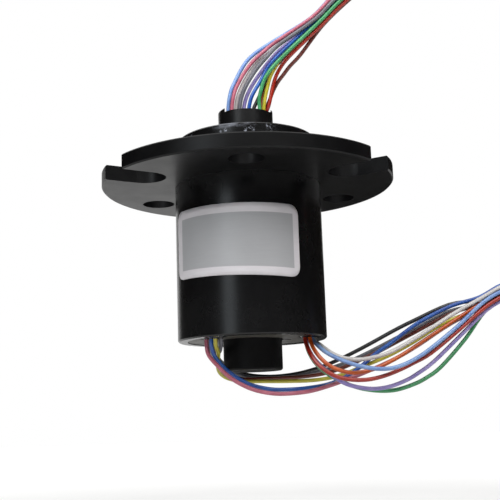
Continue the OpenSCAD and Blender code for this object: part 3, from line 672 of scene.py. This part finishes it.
def buildMenisci(starts, up):
    # resin that creeps along each lead where it leaves, up or down by the sign of up
    def build(form):
        for x, y, z in starts:
            loops = []
            for i in range(meniscus["rings"] + 1):
                t = i / meniscus["rings"]
                r = leads["diameter"] / 2 - meniscus["sunk"] + meniscus["reach"] * t
                h = meniscus["rise"] * (1 - t) ** meniscus["fall"] - meniscus["sunk"] * t
                loops.append([form.verts.new((x + r * cos(a), y + r * sin(a), z + up * h))
                              for a in (2 * pi * k / meniscus["sides"]
                                        for k in range(meniscus["sides"]))])
            for a, b in zip(loops, loops[1:]):
                for k in range(meniscus["sides"]):
                    m = (k + 1) % meniscus["sides"]
                    form.faces.new((a[k], a[m], b[m], b[k]))
    return build


for side, body, routes, up in (("rotor", "rotor", rotorRoutes, 1),
                               ("stator", "housing", statorRoutes, -1)):
    starts = [way[0] for k, way in routes.values()]
    meshPiece(side + "Menisci", buildMenisci(starts, up), body, made["potting"])
print("resin round the leads")

# near and far are the floor's glow, which grows from the first fade distance to the second
studio = {"floor": -0.0546, "floorSize": 2.4, "near": 0.25, "far": 0.8, "fade": (0.14, 0.34),
          "fill": 0.45}


def addSeen(tree):
    # 1 for what the eye, a reflection or clear plastic sees, 0 for light
    rays = tree.nodes.new("ShaderNodeLightPath")
    return addMath(tree, "MAXIMUM", rays.outputs["Is Camera Ray"],
                   addMath(tree, "MAXIMUM", rays.outputs["Is Glossy Ray"],
                           rays.outputs["Is Transmission Ray"]))


def makeFloor():
    # pale paper that takes the object's shadow and runs out into white
    material, tree, shader = addMaterial("paleFloor")
    tree.nodes.remove(shader)
    paper = tree.nodes.new("ShaderNodeBsdfDiffuse")
    tree.links.new(addRamp(tree, addNoise(tree, 0.02, 2), [(0.3, tone(232, 232, 231)),
                                                           (0.7, tone(236, 236, 235))]),
                   paper.inputs["Color"])
    place = tree.nodes.new("ShaderNodeTexCoord")
    away = tree.nodes.new("ShaderNodeVectorMath")
    away.operation = "LENGTH"
    tree.links.new(place.outputs["Object"], away.inputs[0])
    clear = addRange(tree, away.outputs["Value"], studio["near"], studio["far"], *studio["fade"])
    glow = tree.nodes.new("ShaderNodeEmission")
    tree.links.new(addProduct(tree, addSeen(tree), clear), glow.inputs["Strength"])
    both = tree.nodes.new("ShaderNodeAddShader")
    tree.links.new(paper.outputs["BSDF"], both.inputs[0])
    tree.links.new(glow.outputs["Emission"], both.inputs[1])
    tree.links.new(both.outputs["Shader"], tree.nodes["Material Output"].inputs["Surface"])
    bpy.ops.mesh.primitive_grid_add(x_subdivisions=4, y_subdivisions=4, size=studio["floorSize"],
                                    location=(0, 0, studio["floor"]))
    floor = bpy.context.object
    floor.name = "floor"
    floor.data.materials.append(material)


def makeWorld():
    # white all round to the eye and in reflections, softer as light
    world = bpy.data.worlds.new("studio")
    bpy.context.scene.world = world
    world.use_nodes = True
    tree = world.node_tree
    room = tree.nodes["Background"]
    room.inputs["Color"].default_value = (1, 1, 1, 1)
    tree.links.new(addRange(tree, addSeen(tree), studio["fill"], 1, 0, 1),
                   room.inputs["Strength"])


def makeDarkPaint(name, patch, dark, light):
    material, tree, shader = addMaterial(name)
    tree.links.new(addRamp(tree, addNoise(tree, patch), [(0.3, tone(*dark)),
                                                         (0.7, tone(*light))]),
                   shader.inputs["Base Color"])
    return material, shader


screen = {"radius": 0.85, "from": -146, "to": 162, "high": 1.0, "columns": 32}


def makeDarkScreen():
    # a dark curved screen behind the camera, so that black faces stay black
    material, shader = makeDarkPaint("darkScreen", 0.05, (42, 37, 32), (48, 42, 37))
    shader.inputs["Roughness"].default_value = 1
    form = bmesh.new()
    rows = []
    for i in range(screen["columns"] + 1):
        share = i / screen["columns"]
        a = radians(screen["from"] + (screen["to"] - screen["from"]) * share)
        rows.append([form.verts.new((screen["radius"] * sin(a), -screen["radius"] * cos(a), z))
                     for z in (studio["floor"], studio["floor"] + screen["high"])])
    for a, b in zip(rows, rows[1:]):
        form.faces.new((a[0], b[0], b[1], a[1]))
    wall = closeMesh("darkScreen", form, material)
    wall.visible_camera = False


darkCard = {"left": 0.006, "right": 0.046, "back": 0.06, "top": -0.001}


def makeDarkCard():
    # a card behind the object, seen in reflections only: it darkens the flange's right underside
    material, shader = makeDarkPaint("blackCard", 0.02, (10, 9, 8), (16, 14, 12))
    form = bmesh.new()
    form.faces.new([form.verts.new((x, darkCard["back"], z)) for x, z in (
        (darkCard["left"], studio["floor"]), (darkCard["right"], studio["floor"]),
        (darkCard["right"], darkCard["top"]), (darkCard["left"], darkCard["top"]))])
    card = closeMesh("blackCard", form, material)
    card.visible_camera = card.visible_diffuse = card.visible_shadow = False


# azimuth 0 is in front, positive to the right; radiance is how bright the panel looks
lamps = {
    "keyPanel": {"azimuth": -33, "elevation": 12, "distance": 0.55, "wide": 0.17, "tall": 0.5,
                 "radiance": 2.6, "colour": (0.86, 0.94, 1)},
    "topPanel": {"azimuth": 4, "elevation": 50, "distance": 0.5, "wide": 0.8, "tall": 0.34,
                 "radiance": 4.4, "colour": (1, 1, 1)},
    "sidePanel": {"azimuth": 100, "elevation": 45, "distance": 0.6, "wide": 0.3, "tall": 0.3,
                  "radiance": 0.4, "colour": (1, 0.93, 0.86)},
}
lampAim = Vector((0, 0, -0.01))


def addLamp(name, lamp):
    data = bpy.data.lights.new(name, "AREA")
    data.shape = "RECTANGLE"
    data.size, data.size_y = lamp["wide"], lamp["tall"]
    data.energy = lamp["radiance"] * pi * lamp["wide"] * lamp["tall"]
    data.color = lamp["colour"]
    a, e = radians(lamp["azimuth"]), radians(lamp["elevation"])
    towards = Vector((sin(a) * cos(e), -cos(a) * cos(e), sin(e)))
    panel = link(bpy.data.objects.new(name, data))
    panel.location = towards * lamp["distance"] + lampAim
    panel.rotation_mode = "QUATERNION"
    panel.rotation_quaternion = towards.to_track_quat("Z", "Y")


makeFloor()
makeWorld()
makeDarkScreen()
makeDarkCard()
for name, lamp in lamps.items():
    addLamp(name, lamp)
bpy.context.scene.view_settings.view_transform = "Standard"
print("studio lit")
